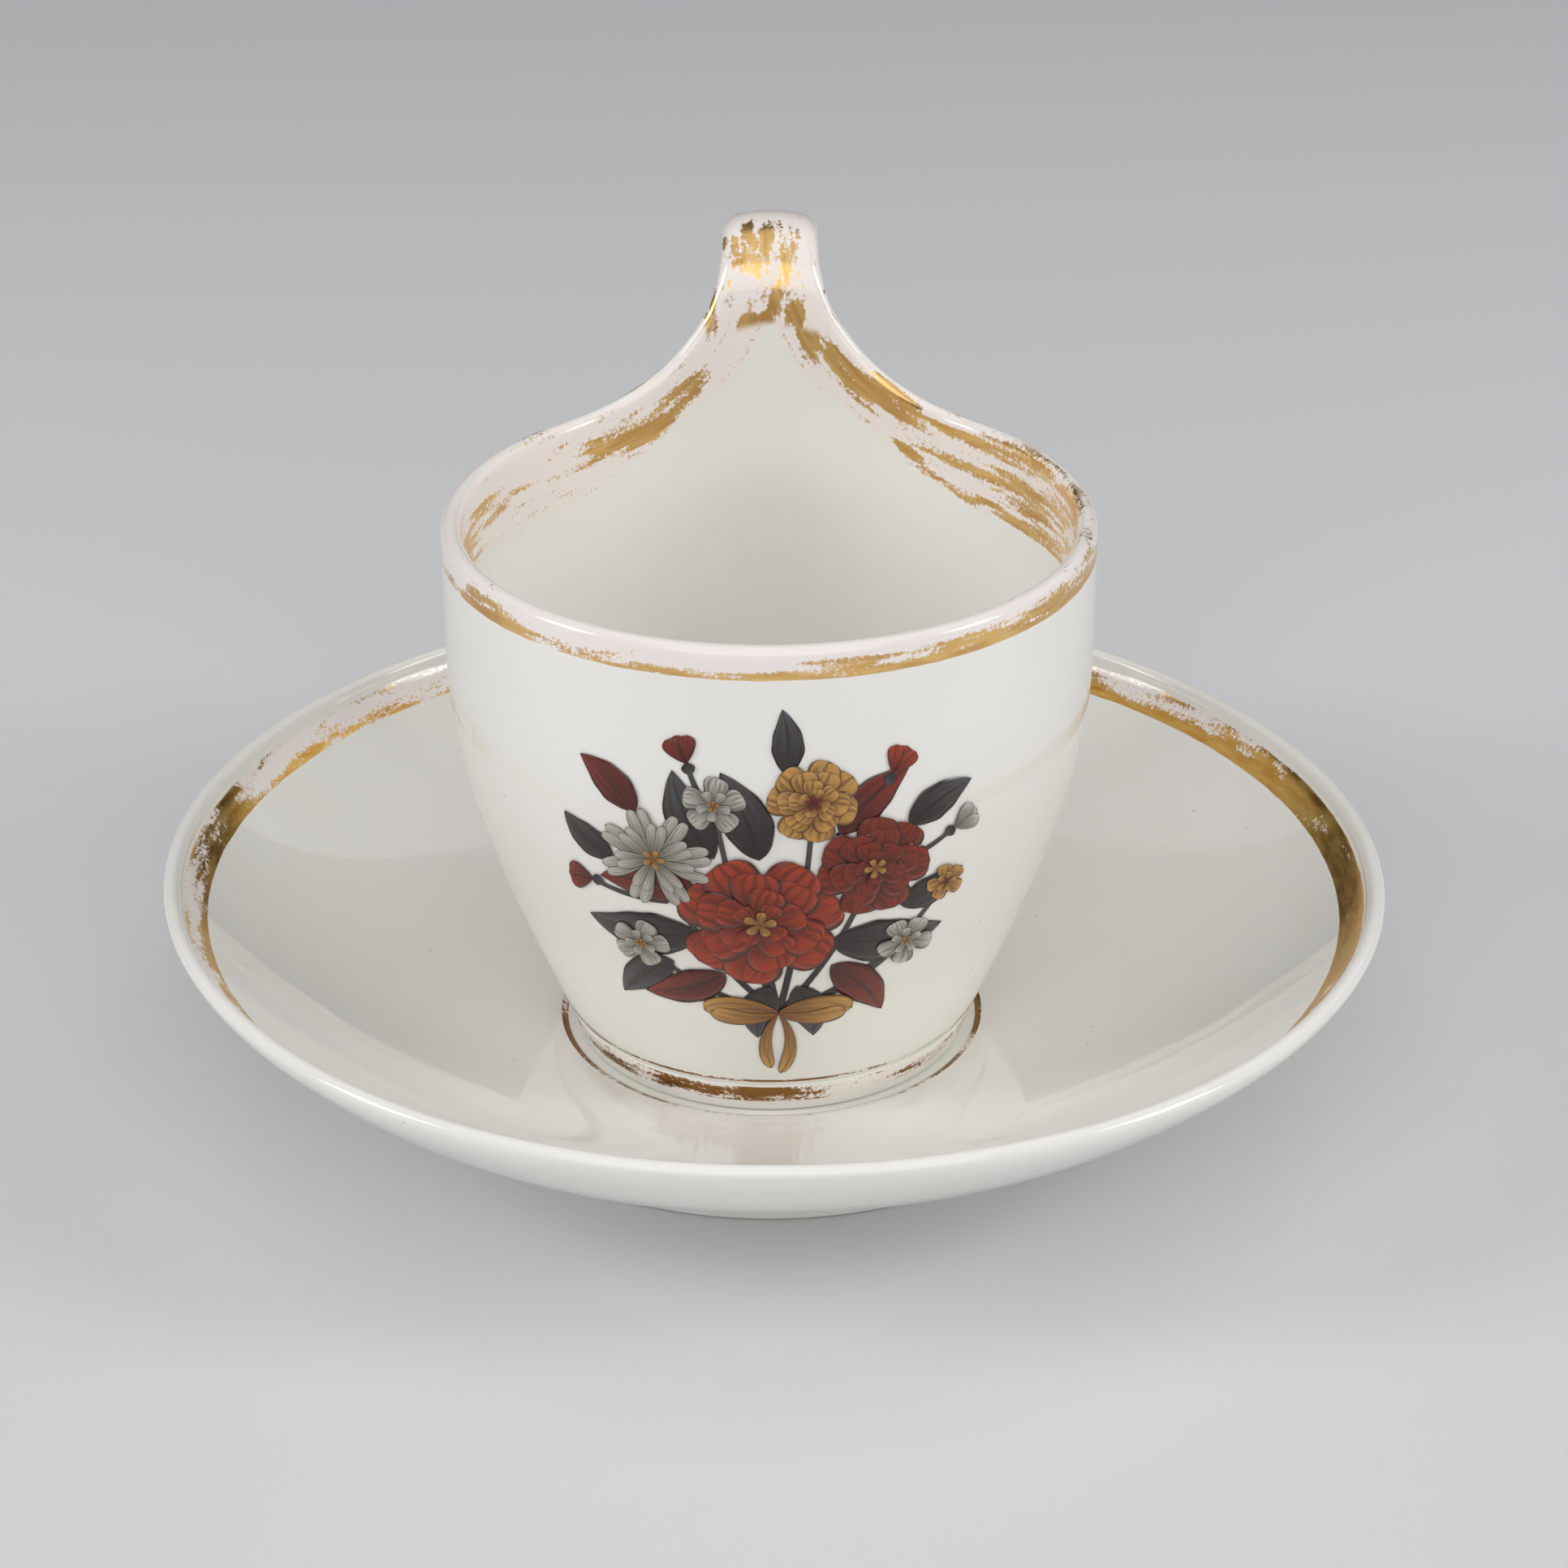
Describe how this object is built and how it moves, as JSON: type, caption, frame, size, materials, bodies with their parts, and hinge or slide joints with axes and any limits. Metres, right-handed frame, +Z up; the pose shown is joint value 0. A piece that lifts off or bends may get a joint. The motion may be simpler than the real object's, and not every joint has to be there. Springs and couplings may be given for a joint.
{
  "type": "cup and saucer",
  "caption": "Porcelain cup with a rim drawn up into a tall strap handle, standing in the shallow well of its deep round saucer.",
  "frame": {"origin": "on the table, under the middle of the saucer's foot ring", "axes": "+Z up along the axis of cup and saucer; +Y towards the handle; the cup's front faces -Y"},
  "size_m": [0.145, 0.145, 0.0931],
  "materials": {
    "cup_glaze": "glossy white glaze with worn gilding",
    "saucer_glaze": "glossy white glaze with worn gilding",
    "foot_porcelain": "glazed sides, bare ground edge"
  },
  "bodies": {
    "saucer": {"saucer_dish": "saucer_glaze", "saucer_foot_ring": "foot_porcelain"},
    "cup": {"cup_bowl": "cup_glaze", "cup_handle": "cup_glaze", "cup_foot_ring": "foot_porcelain"}
  },
  "joints": [
    {"name": "cup_lift", "type": "slide", "parent": "saucer", "child": "cup", "axis": [0, 0, 1], "range_m": [0, 0.08]}
  ]
}
